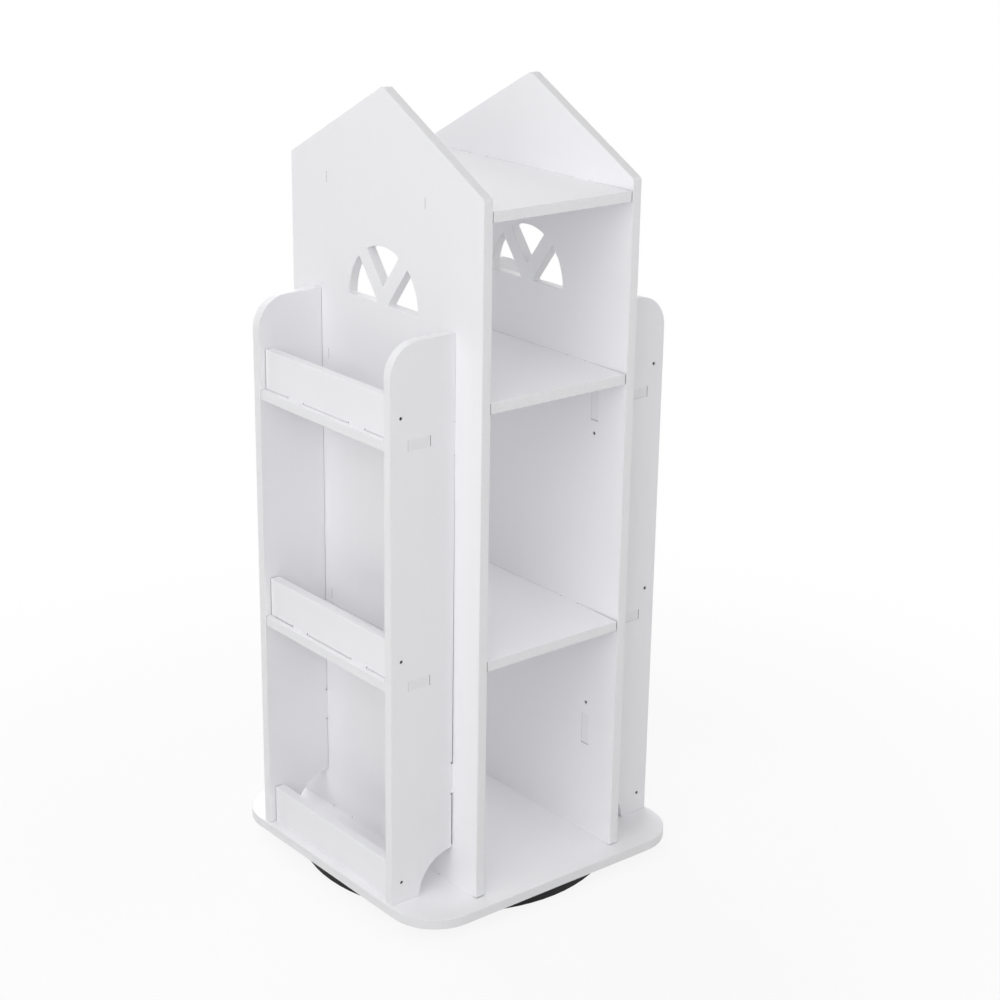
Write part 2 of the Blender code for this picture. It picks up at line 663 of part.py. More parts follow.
def swivel_plate_mesh():
    profile = [
        (pivot_bore, swivel_top), (SWIVEL_RADIUS, swivel_top),
        (SWIVEL_RADIUS, swivel_bottom), (pivot_bore, swivel_bottom),
    ]
    bm = bmesh.new()
    add_turned(bm, profile, DISC_SIDES)
    mesh = finished_mesh(bm, "swivel_plate")
    cutter = bmesh.new()
    for angle in swivel_screw_angles():
        x = SWIVEL_SCREW_CIRCLE * math.cos(angle)
        y = SWIVEL_SCREW_CIRCLE * math.sin(angle)
        depth = SWIVEL_THICKNESS + CUT_MARGIN
        add_hole(cutter, (x, y, swivel_bottom), (0, 0, 1), SWIVEL_SCREW_RADIUS + JOINT_GAP, depth)
    return cut_mesh(mesh, cutter)


def pivot_bolt_mesh():
    profile = [
        (0.0, pivot_top), (PIVOT_RADIUS, pivot_top), (PIVOT_RADIUS, pivot_head_top),
        (PIVOT_HEAD_RADIUS, pivot_head_top), (PIVOT_HEAD_RADIUS, pivot_head_bottom), (0.0, pivot_head_bottom),
    ]
    bm = bmesh.new()
    add_turned(bm, profile, ROUND_SIDES)
    return finished_mesh(bm, "pivot_bolt")


def pivot_nut_mesh():
    bm = bmesh.new()
    hexagon = []
    for i in range(6):
        angle = 2 * math.pi * i / 6
        hexagon.append((NUT_RADIUS * math.cos(angle), NUT_RADIUS * math.sin(angle)))
    add_prism(bm, hexagon, nut_bottom, nut_top)
    cutter = bmesh.new()
    high, low = nut_top + CUT_MARGIN, nut_bottom - CUT_MARGIN
    add_turned(cutter, [(0.0, high), (pivot_bore, high), (pivot_bore, low), (0.0, low)], ROUND_SIDES)
    return cut_mesh(finished_mesh(bm, "pivot_nut"), cutter)


# Assembly

def place_turntable(materials):
    """The pieces that stand still on the floor."""
    stand = place_empty("standing_part", 0.0)
    place_object("turntable_disc", turntable_disc_mesh(), materials["black"], (0, 0, 0), stand)
    place_object("glide_ring", glide_ring_mesh(), materials["nylon"], (0, 0, 0), stand)
    place_object("pivot_bolt", pivot_bolt_mesh(), materials["steel"], (0, 0, 0), stand)
    place_object("pivot_nut", pivot_nut_mesh(), materials["steel"], (0, 0, 0), stand)
    foot = rubber_foot_mesh()
    for i, (x, y) in enumerate(foot_places()):
        place_object(f"rubber_foot_{i + 1}", foot, materials["rubber"], (x, y, 0), stand)


def place_tower_core(materials, tower):
    """The base plate, the swivel plate under it and the shelves between the gable panels."""
    board = materials["board"]
    place_object("base_plate", base_plate_mesh(), board, (0, 0, base_bottom + half_board), tower)
    place_object("swivel_plate", swivel_plate_mesh(), materials["steel"], (0, 0, 0), tower)
    shelf = tower_shelf_mesh()
    heights = (("top", TOP_SHELF_HEIGHT), ("upper", UPPER_SHELF_HEIGHT), ("lower", LOWER_SHELF_HEIGHT))
    for name, height in heights:
        place_object(f"{name}_shelf", shelf, board, (0, 0, base_top + height - half_board), tower)
    screw = swivel_screw_mesh()
    for i, angle in enumerate(swivel_screw_angles()):
        x = SWIVEL_SCREW_CIRCLE * math.cos(angle)
        y = SWIVEL_SCREW_CIRCLE * math.sin(angle)
        point = (x, y, swivel_bottom)
        place_screw(f"swivel_screw_{i + 1}", screw, materials["steel"], point, (0, 0, 1), tower)


def place_half(half, turn, meshes, materials, tower):
    """One gable panel with its rack and screws. The turn of half a circle makes the left one."""
    frame = place_empty(f"{half}_half", turn, tower)
    board, black = materials["board"], materials["black"]
    ends = {-1: "front", 1: "back"} if turn == 0.0 else {-1: "back", 1: "front"}
    place_object(f"gable_panel_{half}", meshes["gable"], board, (gable_middle, 0, base_top), frame)
    for side, end in ends.items():
        place = (gable_outer, side * side_middle, base_top)
        place_object(f"{half}_rack_{end}_side", meshes["side", side], board, place, frame)
        for name, height in side_screws:
            point = (gable_inner, side * side_middle, base_top + height)
            place_screw(f"{half}_gable_screw_{end}_{name}", meshes["screw"], black, point, (1, 0, 0), frame)
        for name, height in lip_carriers:
            point = (gable_outer + lip_middle, side * RACK_WIDTH / 2, base_top + height + LIP_SCREW_HEIGHT)
            place_screw(f"{half}_lip_screw_{end}_{name}", meshes["screw"], black, point, (0, -side, 0), frame)
        point = (gable_middle, side * BASE_SCREW_SPACING / 2, base_bottom)
        place_screw(f"{half}_base_screw_{end}", meshes["screw"], black, point, (0, 0, 1), frame)
    for name, height in lip_carriers:
        place = (gable_outer + lip_middle, 0, base_top + height)
        place_object(f"{half}_rack_{name}_lip", meshes["lip"], board, place, frame)
    for name, height in (("upper", RACK_UPPER_SHELF_HEIGHT), ("lower", RACK_LOWER_SHELF_HEIGHT)):
        place = (gable_outer, 0, base_top + height - half_board)
        place_object(f"{half}_rack_{name}_shelf", meshes["shelf"], board, place, frame)


def build():
    for item in list(bpy.data.objects):
        bpy.data.objects.remove(item)
    materials = {
        "board": make_material("white_board", (0.90, 0.90, 0.91), 0.45),
        "black": make_material("black_plastic", (0.020, 0.020, 0.021), 0.55),
        "rubber": make_material("black_rubber", (0.012, 0.012, 0.012), 0.85),
        "nylon": make_material("nylon", (0.72, 0.70, 0.65), 0.40),
        "steel": make_material("zinc_steel", (0.55, 0.56, 0.58), 0.35, 1.0),
    }
    place_turntable(materials)
    tower = place_empty("turning_part", 0.0)
    place_tower_core(materials, tower)
    meshes = {
        "gable": gable_panel_mesh(),
        "shelf": rack_shelf_mesh(),
        "lip": lip_mesh(),
        "screw": wood_screw_mesh(),
    }
    for side in (-1, 1):
        meshes["side", side] = rack_side_mesh(side)
    place_half("right", 0.0, meshes, materials, tower)
    place_half("left", math.pi, meshes, materials, tower)
    bpy.context.view_layer.update()


build()
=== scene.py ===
import json
import math

import bmesh
import bpy
from mathutils import Matrix, Vector

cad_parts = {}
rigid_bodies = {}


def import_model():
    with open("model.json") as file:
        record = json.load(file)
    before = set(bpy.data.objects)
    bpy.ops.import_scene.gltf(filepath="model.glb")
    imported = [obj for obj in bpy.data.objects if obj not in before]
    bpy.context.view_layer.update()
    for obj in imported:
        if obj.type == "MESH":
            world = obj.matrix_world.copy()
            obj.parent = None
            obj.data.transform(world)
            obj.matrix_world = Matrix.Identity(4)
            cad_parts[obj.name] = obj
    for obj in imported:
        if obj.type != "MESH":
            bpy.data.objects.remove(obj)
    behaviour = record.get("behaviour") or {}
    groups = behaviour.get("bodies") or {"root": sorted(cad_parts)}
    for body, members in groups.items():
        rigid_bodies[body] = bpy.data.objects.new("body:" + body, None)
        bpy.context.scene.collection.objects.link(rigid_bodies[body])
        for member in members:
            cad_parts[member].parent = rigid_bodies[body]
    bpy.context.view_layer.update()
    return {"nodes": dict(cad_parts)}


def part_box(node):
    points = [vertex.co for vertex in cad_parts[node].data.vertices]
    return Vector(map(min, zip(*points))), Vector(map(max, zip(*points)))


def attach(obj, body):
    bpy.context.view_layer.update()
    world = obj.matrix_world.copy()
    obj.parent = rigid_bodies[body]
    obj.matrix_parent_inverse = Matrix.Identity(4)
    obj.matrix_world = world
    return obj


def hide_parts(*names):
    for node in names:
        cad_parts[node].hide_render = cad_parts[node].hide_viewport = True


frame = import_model()
scene = bpy.context.scene
print("frame loaded:", len(frame["nodes"]), "nodes")


# Shader maths: a Wire is one output socket, and sums on wires add Math nodes

class Wire:
    def __init__(self, tree, socket):
        self.tree = tree
        self.socket = socket

    def maths(self, operation, first, second):
        node = self.tree.nodes.new("ShaderNodeMath")
        node.operation = operation
        connect(self.tree, node.inputs[0], first)
        connect(self.tree, node.inputs[1], second)
        return Wire(self.tree, node.outputs[0])

    def __add__(self, other):
        return self.maths("ADD", self, other)

    def __sub__(self, other):
        return self.maths("SUBTRACT", self, other)

    def __rsub__(self, other):
        return self.maths("SUBTRACT", other, self)

    def __mul__(self, other):
        return self.maths("MULTIPLY", self, other)

    def atLeast(self, other):
        return self.maths("MAXIMUM", self, other)

    def atMost(self, other):
        return self.maths("MINIMUM", self, other)


def connect(tree, socket, value):
    if isinstance(value, Wire):
        tree.links.new(value.socket, socket)
    elif isinstance(value, tuple) and len(value) == 3 and socket.type == "RGBA":
        socket.default_value = (*value, 1.0)
    else:
        socket.default_value = value


class Paint:
    def __init__(self, name, roughness=0.5, metallic=0.0):
        self.material = bpy.data.materials.new(name)
        self.material.use_nodes = True
        self.tree = self.material.node_tree
        self.shader = self.tree.nodes["Principled BSDF"]
        self.shader.inputs["Roughness"].default_value = roughness
        self.shader.inputs["Metallic"].default_value = metallic

    def node(self, kind, settings=None, sockets=None, output=0):
        made = self.tree.nodes.new("ShaderNode" + kind)
        for key, value in (settings or {}).items():
            if key == "stops":                     # a ramp's stops, as (place, grey)
                while len(made.color_ramp.elements) < len(value):
                    made.color_ramp.elements.new(0.5)
                for element, (place, grey) in zip(made.color_ramp.elements, value):
                    element.position = place
                    element.color = (grey, grey, grey, 1.0)
            else:
                setattr(made, key, value)
        for key, value in (sockets or {}).items():
            connect(self.tree, made.inputs[key], value)
        return Wire(self.tree, made.outputs[output])

    def place(self, scale=(1, 1, 1), turn=(0, 0, 0)):
        spot = self.node("TexCoord", output="Object")
        return self.node("Mapping", None, {"Vector": spot, "Scale": scale, "Rotation": turn})

    def noise(self, scale, detail=2.0, stretch=(1, 1, 1)):
        return self.node("TexNoise", None, {"Vector": self.place(stretch), "Scale": scale, "Detail": detail})

    def blend(self, share, first, second):
        made = self.tree.nodes.new("ShaderNodeMix")
        made.data_type = "RGBA"
        connect(self.tree, made.inputs["Factor"], share)
        connect(self.tree, made.inputs[6], first)
        connect(self.tree, made.inputs[7], second)
        return Wire(self.tree, made.outputs[2])

    def bump(self, height, strength, distance):
        normal = self.node("Bump", None, {"Height": height, "Strength": strength, "Distance": distance})
        connect(self.tree, self.shader.inputs["Normal"], normal)

    def feed(self, **sockets):
        names = {"colour": "Base Color", "roughness": "Roughness"}
        for key, value in sockets.items():
            connect(self.tree, self.shader.inputs[names[key]], value)


# Finishes: a scale counts features in a metre, and a bump is its strength and its depth in metres

satin = {                                 # on the boards' faces
    "colour": (0.926, 0.924, 0.942),
    "shade": (0.902, 0.900, 0.921),       # where the coat is a little thinner
    "cloudScale": 7.0,
    "cloudShare": 0.7,
    "rollerScale": 60.0,                  # marks of a roller, drawn out upwards
    "rollerStretch": (1, 1, 0.06),
    "rollerShare": 0.5,
    "clearShare": 0.1,
    "roughness": 0.42,
    "roughnessScale": 240.0,
    "roughnessSpread": 0.10,
    "grainScales": (900.0, 260.0),
    "coarseShare": 0.6,
    "bump": (0.25, 0.00006),
}
cutEdge = {
    "colour": (0.885, 0.883, 0.896),
    "shade": (0.805, 0.803, 0.818),
    "insideShadedColour": (0.868, 0.866, 0.880),      # inside the windows, a little darker than the other cut edges: painted shade in the openings
    "insideShadedFleck": (0.788, 0.786, 0.800),
    "fleckScale": 520.0,
    "fleckStops": ((0.48, 0.0), (0.70, 1.0)),
    "cloudScale": 35.0,
    "cloudShare": 0.15,
    "roughness": 0.50,
    "lowRoughness": 0.42,
    "roughnessSpread": 0.14,
    "grainScale": 1500.0,
    "grainShare": 0.5,
    "bumpDepth": 0.0001,
    "fine": (0.30, 0.08),                 # the flecks' share and their bump's strength
    "coarse": (0.55, 0.16),               # the same on the tower's shelves
}
fibre = {                                 # bare fibre board inside the joints
    "colour": (0.125, 0.115, 0.102),
    "shade": (0.075, 0.068, 0.060),
    "scale": 900.0,
    "roughness": 0.90,
    "lowRoughness": 0.85,
    "roughnessSpread": 0.10,
    "bump": (0.5, 0.0001),
}
steel = {                                 # blackened wood screws
    "colour": (0.030, 0.030, 0.032),
    "worn": (0.075, 0.074, 0.074),
    "metallic": 0.75,
    "roughness": 0.38,
    "wearScale": 2600.0,
    "lowRoughness": 0.28,
    "roughnessSpread": 0.25,
    "grainScale": 5200.0,
    "bump": (0.2, 0.00003),
}
plastic = {                               # turntable disc
    "colour": (0.0095, 0.0095, 0.0100),
    "shade": (0.0165, 0.0165, 0.0175),
    "specular": 0.22,
    "roughness": 0.55,
    "lowRoughness": 0.52,
    "cloudScale": 14.0,
    "cloudSpread": 0.08,
    "grainScale": 1300.0,
    "grainSpread": 0.16,
    "bump": (0.35, 0.00008),
}
rubber = {                                # turntable feet
    "colour": (0.010, 0.010, 0.010),
    "dust": (0.024, 0.023, 0.022),
    "dustScale": 90.0,
    "roughness": 0.85,
    "lowRoughness": 0.76,
    "roughnessScale": 700.0,
    "roughnessSpread": 0.12,
    "grainScale": 1800.0,
    "bump": (0.4, 0.0001),
}
nylon = {                                 # glide ring
    "colour": (0.74, 0.72, 0.67),
    "shade": (0.66, 0.64, 0.58),
    "cloudScale": 30.0,
    "roughness": 0.40,
    "lowRoughness": 0.33,
    "roughnessScale": 400.0,
    "roughnessSpread": 0.15,
    "grainScale": 900.0,
    "bump": (0.2, 0.00005),
}
zinc = {                                  # swivel plate, bolt and nut
    "colour": (0.56, 0.57, 0.59),
    "shade": (0.46, 0.47, 0.49),
    "spangleScale": 420.0,
    "spangleSpread": 0.16,
    "roughness": 0.34,
    "lowRoughness": 0.24,
    "smearScale": 60.0,
    "smearSpread": 0.10,
    "grainScale": 1500.0,
    "bump": (0.15, 0.00003),
}


def satinPaint():
    made = Paint("white_satin", satin["roughness"])
    cloud = made.noise(satin["cloudScale"], 3.0)
    roller = made.noise(satin["rollerScale"], 2.0, satin["rollerStretch"])
    share = cloud * satin["cloudShare"] + roller * satin["rollerShare"] - satin["clearShare"]
    made.feed(colour=made.blend(share.atLeast(0.0), satin["colour"], satin["shade"]))
    spread = satin["roughnessSpread"]
    made.feed(roughness=made.noise(satin["roughnessScale"], 2.0) * spread + (satin["roughness"] - spread / 2))
    fine, coarse = satin["grainScales"]
    made.bump(made.noise(fine, 2.0) + made.noise(coarse, 1.0) * satin["coarseShare"], *satin["bump"])
    return made.material


def edgePaint(name, colour, shade, fleckShare, height):
    made = Paint(name, cutEdge["roughness"])
    fleck = made.noise(cutEdge["fleckScale"], 2.0)
    sharp = made.node("ValToRGB", {"stops": cutEdge["fleckStops"]}, {"Fac": fleck})
    cloud = made.noise(cutEdge["cloudScale"], 2.0)
    share = sharp * fleckShare + cloud * cutEdge["cloudShare"]
    made.feed(colour=made.blend(share, cutEdge[colour], cutEdge[shade]))
    made.feed(roughness=fleck * cutEdge["roughnessSpread"] + cutEdge["lowRoughness"])
    grain = made.noise(cutEdge["grainScale"], 1.0)
    made.bump(fleck + grain * cutEdge["grainShare"], height, cutEdge["bumpDepth"])
    return made.material


def bareFibre():
    made = Paint("bare_fibre", fibre["roughness"])
    strands = made.noise(fibre["scale"], 3.0)
    made.feed(colour=made.blend(strands, fibre["colour"], fibre["shade"]))
    made.feed(roughness=strands * fibre["roughnessSpread"] + fibre["lowRoughness"])
    made.bump(strands, *fibre["bump"])
    return made.material


def darkSteel():
    made = Paint("black_oxide", steel["roughness"], steel["metallic"])
    wear = made.noise(steel["wearScale"], 2.0)
    made.feed(colour=made.blend(wear, steel["colour"], steel["worn"]))
    made.feed(roughness=wear * steel["roughnessSpread"] + steel["lowRoughness"])
    made.bump(made.noise(steel["grainScale"], 1.0), *steel["bump"])
    return made.material


def blackPlastic():
    made = Paint("black_disc", plastic["roughness"])
    made.shader.inputs["Specular IOR Level"].default_value = plastic["specular"]
    cloud = made.noise(plastic["cloudScale"], 3.0)
    grain = made.noise(plastic["grainScale"], 2.0)
    made.feed(colour=made.blend(cloud, plastic["colour"], plastic["shade"]))
    spread = grain * plastic["grainSpread"] + cloud * plastic["cloudSpread"]
    made.feed(roughness=spread + plastic["lowRoughness"])
    made.bump(grain, *plastic["bump"])
    return made.material


def blackRubber():
    made = Paint("black_rubber", rubber["roughness"])
    dust = made.noise(rubber["dustScale"], 3.0)
    made.feed(colour=made.blend(dust, rubber["colour"], rubber["dust"]))
    matt = made.noise(rubber["roughnessScale"], 2.0)
    made.feed(roughness=matt * rubber["roughnessSpread"] + rubber["lowRoughness"])
    made.bump(made.noise(rubber["grainScale"], 2.0), *rubber["bump"])
    return made.material


def paleNylon():
    made = Paint("nylon", nylon["roughness"])
    cloud = made.noise(nylon["cloudScale"], 2.0)
    made.feed(colour=made.blend(cloud, nylon["colour"], nylon["shade"]))
    matt = made.noise(nylon["roughnessScale"], 2.0)
    made.feed(roughness=matt * nylon["roughnessSpread"] + nylon["lowRoughness"])
    made.bump(made.noise(nylon["grainScale"], 1.0), *nylon["bump"])
    return made.material


def zincSteel():
    made = Paint("zinc_steel", zinc["roughness"], 1.0)
    spangle = made.node("TexVoronoi", None, {"Vector": made.place(), "Scale": zinc["spangleScale"]}, "Color")
    share = made.node("RGBToBW", None, {"Color": spangle})
    made.feed(colour=made.blend(share, zinc["colour"], zinc["shade"]))
    smear = made.noise(zinc["smearScale"], 3.0)
    spread = share * zinc["spangleSpread"] + smear * zinc["smearSpread"]
    made.feed(roughness=spread + zinc["lowRoughness"])
    made.bump(made.noise(zinc["grainScale"], 2.0), *zinc["bump"])
    return made.material


finish = {
    "face": satinPaint(),
    "edge": edgePaint("white_edge", "colour", "shade", *cutEdge["fine"]),
    "shelfEdge": edgePaint("white_shelf_edge", "colour", "shade", *cutEdge["coarse"]),
    # the windows' walls: the cut-edge finish with painted shade, its colours a little below the other edges
    "reveal": edgePaint("white_reveal_painted_shade", "insideShadedColour", "insideShadedFleck", *cutEdge["fine"]),
    "joint": bareFibre(),
    "screw": darkSteel(),
    "disc": blackPlastic(),
    "rubber": blackRubber(),
    "nylon": paleNylon(),
    "zinc": zincSteel(),
}
print("finishes made:", len(finish))


# Boards are drawn in U and V, with their thickness along W

board = {
    "thickness": 0.011,
    "edgeRound": 0.0006,      # along the exposed edges and round the windows
    "edgeSteps": 3,
    "cornerSteps": ((0.02, 12), (0.003, 6), (0.0, 4)),    # for a radius over each first value
    "seat": 0.0003,           # between a board's end and the board it stands against
    "relief": 0.0012,         # small cuts beside the root of every tab
    "tightGap": 0.00001,      # beside a tab, where it is pressed in
    "sideGap": 0.00018,
    "fairGap": 0.00038,
    "looseGap": 0.00060,      # at the end of a tab that has some play
    "ear": (0.0008, 0.0002),  # overcut in the corners of an opening for a tab
    "cornerReach": 0.0012,    # how far from its front a shelf's end is painted
}
halfBoard = board["thickness"] / 2
halfTurn = Matrix.Rotation(math.pi, 4, "Z")
alongX = Matrix(((0, 0, 1, 0), (1, 0, 0, 0), (0, 1, 0, 0), (0, 0, 0, 1)))     # W along X: panels and lips
alongY = Matrix(((1, 0, 0, 0), (0, 0, -1, 0), (0, 1, 0, 0), (0, 0, 0, 1)))    # W along -Y: rack sides
whisker = 0.0001           # closer than this counts as on the line
hair = whisker / 10        # closer than this counts as level with a board's face


def drawShape(path):
    # a path holds corners as (u, v) or (u, v, radius), and turns of the last point as (centre, angle, steps)
    bm = bmesh.new()
    chain = []
    rounded = []
    for step in path:
        if isinstance(step[0], tuple):
            centre, angle, steps = step
            before = set(bm.verts)
            bmesh.ops.spin(bm, geom=[chain[-1]], cent=(*centre, 0), axis=(0, 0, 1), dvec=(0, 0, 0),
                           angle=angle, steps=steps, use_merge=False, use_duplicate=False)
            chain += [vert for vert in bm.verts if vert not in before]
        else:
            vert = bm.verts.new((step[0], step[1], 0))
            chain.append(vert)
            if len(step) == 3:
                rounded.append((vert, step[2]))
    bm.faces.new(chain)
    for vert, radius in rounded:
        reach = radius / math.tan(vert.link_loops[0].calc_angle() / 2)
        bmesh.ops.bevel(bm, geom=[vert], offset=reach, offset_type="OFFSET", segments=cornerSteps(radius),
                        profile=0.5, affect="VERTICES", material=-1, clamp_overlap=True)
    return bm


def cornerSteps(radius):
    return next(steps for least, steps in board["cornerSteps"] if radius > least)


def shapePoints(path):
    bm = drawShape(path)
    bm.faces.ensure_lookup_table()
    points = [loop.vert.co.copy() for loop in bm.faces[0].loops]
    bm.free()
    return points


def addRing(bm, points, level):
    verts = [bm.verts.new((point.x, point.y, level)) for point in points]
    return [bm.edges.new(pair) for pair in zip(verts, verts[1:] + verts[:1])]


def newParts(made, kind):
    return [item for item in made if isinstance(item, kind)]


def farEdges(made, verts):
    # the edges of an extrusion that lie between its new points
    return [edge for edge in newParts(made, bmesh.types.BMEdge) if all(vert in verts for vert in edge.verts)]


def thickShape(path, isRounded):
    # the shape drawn out to the board's thickness, with its chosen edges rounded
    bm = drawShape(path)
    bmesh.ops.translate(bm, verts=bm.verts, vec=(0, 0, -halfBoard))
    raised = newParts(bmesh.ops.extrude_face_region(bm, geom=bm.faces[:])["geom"], bmesh.types.BMVert)
    bmesh.ops.translate(bm, verts=raised, vec=(0, 0, 2 * halfBoard))
    bmesh.ops.recalc_face_normals(bm, faces=bm.faces)
    edges = []
    for edge in bm.edges:
        middle = (edge.verts[0].co + edge.verts[1].co) / 2
        if abs(abs(middle.z) - halfBoard) < whisker and isRounded(middle.x, middle.y):
            edges.append(edge)
    bmesh.ops.bevel(bm, geom=edges, offset=board["edgeRound"], offset_type="OFFSET", profile=0.5,
                    segments=board["edgeSteps"], affect="EDGES", material=-1, clamp_overlap=True)
    return bm


def openFaces(bm):
    # takes both flat faces off and gives back their outlines
    rims = {}
    for side in (-1, 1):
        flat = [face for face in bm.faces if abs(face.calc_center_median().z - side * halfBoard) < hair]
        cap = max(flat, key=lambda face: face.calc_area())
        rims[side] = cap.edges[:]
        bmesh.ops.delete(bm, geom=[cap], context="FACES_ONLY")
    return rims


def bridgeRings(bm, rings, rims):
    # walls from ring to ring; the first and last ones become openings in the two flat faces
    rims[-1] += rings[0]
    rims[1] += rings[-1]
    walls = []
    for lower, upper in zip(rings, rings[1:]):
        walls += bmesh.ops.bridge_loops(bm, edges=lower + upper)["faces"]
    return walls


def sinkSeat(bm, points, side, depth, rims):
    ring = addRing(bm, points, side * halfBoard)
    rims[side] += ring
    made = bmesh.ops.extrude_edge_only(bm, edges=ring)["geom"]
    verts = newParts(made, bmesh.types.BMVert)
    bmesh.ops.translate(bm, verts=verts, vec=(0, 0, -side * depth))
    bmesh.ops.edgeloop_fill(bm, edges=farEdges(made, verts))


def boardShape(path, isRounded, isJoint, windows=(), slots=(), seats=()):
    # a window is a stack of (points, level), a slot goes straight through, a seat is (points, side, depth)
    bm = thickShape(path, isRounded)
    bare = []
    revealed = []
    if windows or slots or seats:
        rims = openFaces(bm)
        for stack in windows:
            revealed += bridgeRings(bm, [addRing(bm, points, level) for points, level in stack], rims)
        for points in slots:
            bare += bridgeRings(bm, [addRing(bm, points, side * halfBoard) for side in (-1, 1)], rims)
        for points, side, depth in seats:
            sinkSeat(bm, points, side, depth, rims)
        for side in (-1, 1):
            bmesh.ops.triangle_fill(bm, use_beauty=True, use_dissolve=False, edges=rims[side],
                                    normal=(0, 0, side))
    bmesh.ops.recalc_face_normals(bm, faces=bm.faces)
    bare = set(bare)
    revealed = set(revealed)
    for face in bm.faces:
        middle = face.calc_center_median()
        face.smooth = True
        if abs(middle.z) > halfBoard - hair:
            face.material_index = 0
        elif face in bare or isJoint(middle.x, middle.y):
            face.material_index = 2
        elif face in revealed:
            # walls of the windows, whose finish carries painted shade
            face.material_index = 3
        else:
            face.material_index = 1
    return bm


def placeMesh(bm, name, spot):
    bm.transform(spot)
    mesh = bpy.data.meshes.new(name)
    bm.to_mesh(mesh)
    bm.free()
    return mesh


def addPiece(name, mesh, finishes, body, node, sharpAngle=35):
    for key in finishes:
        mesh.materials.append(finish[key])
    mesh.set_sharp_from_angle(angle=math.radians(sharpAngle))
    piece = bpy.data.objects.new(name, mesh)
    scene.collection.objects.link(piece)
    normals = piece.modifiers.new("normals", "WEIGHTED_NORMAL")
    normals.keep_sharp = True
    normals.weight = 100
    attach(piece, body)
    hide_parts(node)
    return piece


def tabCorners(middle, width, seat, end, relief=board["relief"]):
    # one tab with its relieved root, as (place along the edge, reach)
    low, high = middle - width / 2, middle + width / 2
    root = seat - math.copysign(relief, end - seat)
    return [(low - relief, seat), (low - relief, root), (low, root), (low, end),
            (high, end), (high, root), (high + relief, root), (high + relief, seat)]


def slotShape(middleU, middleV, sizeU, sizeV, play):
    # the opening for a tab; play is the gap at its low U, high U, low V and high V ends
    lowU, highU = middleU - sizeU / 2 - play[0], middleU + sizeU / 2 + play[1]
    lowV, highV = middleV - sizeV / 2 - play[2], middleV + sizeV / 2 + play[3]
    along, out = board["ear"]
    lowOut, highOut = min(out, play[0]), min(out, play[1])      # paint fills the ears of a tight end
    points = [(lowU, lowV - lowOut), (lowU + along, lowV - lowOut), (lowU + along, lowV),
              (highU - along, lowV), (highU - along, lowV - highOut), (highU, lowV - highOut),
              (highU, highV + highOut), (highU - along, highV + highOut), (highU - along, highV),
              (lowU + along, highV), (lowU + along, highV + lowOut), (lowU, highV + lowOut)]
    return [Vector((u, v, 0)) for u, v in points]


def roundShape(middleU, middleV, radius, steps):
    bm = bmesh.new()
    bmesh.ops.create_circle(bm, cap_ends=True, radius=radius, segments=steps)
    bmesh.ops.translate(bm, verts=bm.verts, vec=(middleU, middleV, 0))
    bm.faces.ensure_lookup_table()
    points = [loop.vert.co.copy() for loop in bm.faces[0].loops]
    bm.free()
    return points


def turned(matrix, isLeft):
    # the left half of the tower is the right half turned by half a circle
    return halfTurn @ matrix if isLeft else matrix


def turnPoint(x, y, isLeft):
    return (-x, -y) if isLeft else (x, y)


def halfNames(isLeft):
    # the half's own name, then its rack's two sides as (side along Y before the turn, name)
    return ("left", ((-1, "back"), (1, "front"))) if isLeft else ("right", ((-1, "front"), (1, "back")))


plateLow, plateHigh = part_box("base_plate")
gableLow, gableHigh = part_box("gable_panel_right")
plateTop = plateHigh.z
gableInner, gableOuter = gableLow.x, gableHigh.x
gableMiddle = (gableInner + gableOuter) / 2
gableHalfWidth = gableHigh.y
boardEnd = -board["thickness"]


# Rack sizes, which its own boards and the gable panel behind it share

rack = {
    "depth": 0.0805,
    "width": 0.245,
    "height": 0.615,
    "cornerRadius": 0.036,
    "notchRadius": 0.044,
    "notchEndRadius": 0.0025,
    "notchSteps": (5, 16),
    "upperShelf": 0.515,
    "lowerShelf": 0.255,
    "shelfTabWidth": 0.0275,
    "shelfTabInset": 0.0355,
    "sideTabs": (0.5062, 0.1265),
    "sideTabLength": 0.035,
    "sideTabReliefs": (0.0008, 0.0016),
    "sideScrewOffset": 0.0325,
    "seatGaps": {             # to the gable panel, at the upper tab, above the lower tab and below it
        "close": (0.0004, 0.0004, 0.0004),
        "standing off": (0.0002, 0.0010, 0.0013),
    },
}
lip = {
    "height": 0.0435,
    "setback": 0.0075,
    "tabWidth": 0.0275,
    "tabSpacing": 0.110,
    "screwHeight": 0.024,
    "seats": {                # the gap under the lip, and the relief beside its tabs
        "upper": (0.0004, 0.0012),
        "middle": (0.0006, 0.0012),
        "bottom": (0.0001, 0.0003),
    },
    "endGap": 0.0010,
}
screw = {
    "slot": "black_steel",
    "sides": 16,
    "crown": 0.0016,                                     # flat top of the head
    "head": ((0.0018, -0.0002), (0.0010, -0.0012)),      # radius and height below the top
    "headRadius": 0.0018,
    "headHeight": 0.0012,
    "core": 0.0009,
    "neck": 0.0002,                                      # height of the step from the head to the core
    "tipShare": 0.2,                                     # the tip's radius as a share of the core's
    "thread": 0.0013,
    "threadRise": 0.0003,                                # half the height of the ridge at its root
    "threadStart": 0.0060,
    "threadTurns": 12,
    "length": 0.030,
    "tip": 0.003,
    "sink": 0.0008,
    "recessArm": 0.0011,
    "recessWidth": 0.0004,
    "recessDepth": 0.0009,
    "recessSteps": ((0.8, 0.8), (0.35, 1.0)),            # shares of its width and of its depth
    "seatGap": 0.0002,
    "seatSides": 20,
    "turn": 0.83,                                        # each screw stopped at another angle
    "sharpAngle": 40,
}
sideMiddle = rack["width"] / 2 - halfBoard
sideInner = rack["width"] / 2 - board["thickness"]
lipMiddle = rack["depth"] - lip["setback"] - halfBoard
shelfTabMiddle = rack["depth"] - rack["shelfTabInset"]
sideScrews = (("upper", rack["sideTabs"][0] - rack["sideScrewOffset"]),
              ("lower", rack["sideTabs"][1] + rack["sideScrewOffset"]))
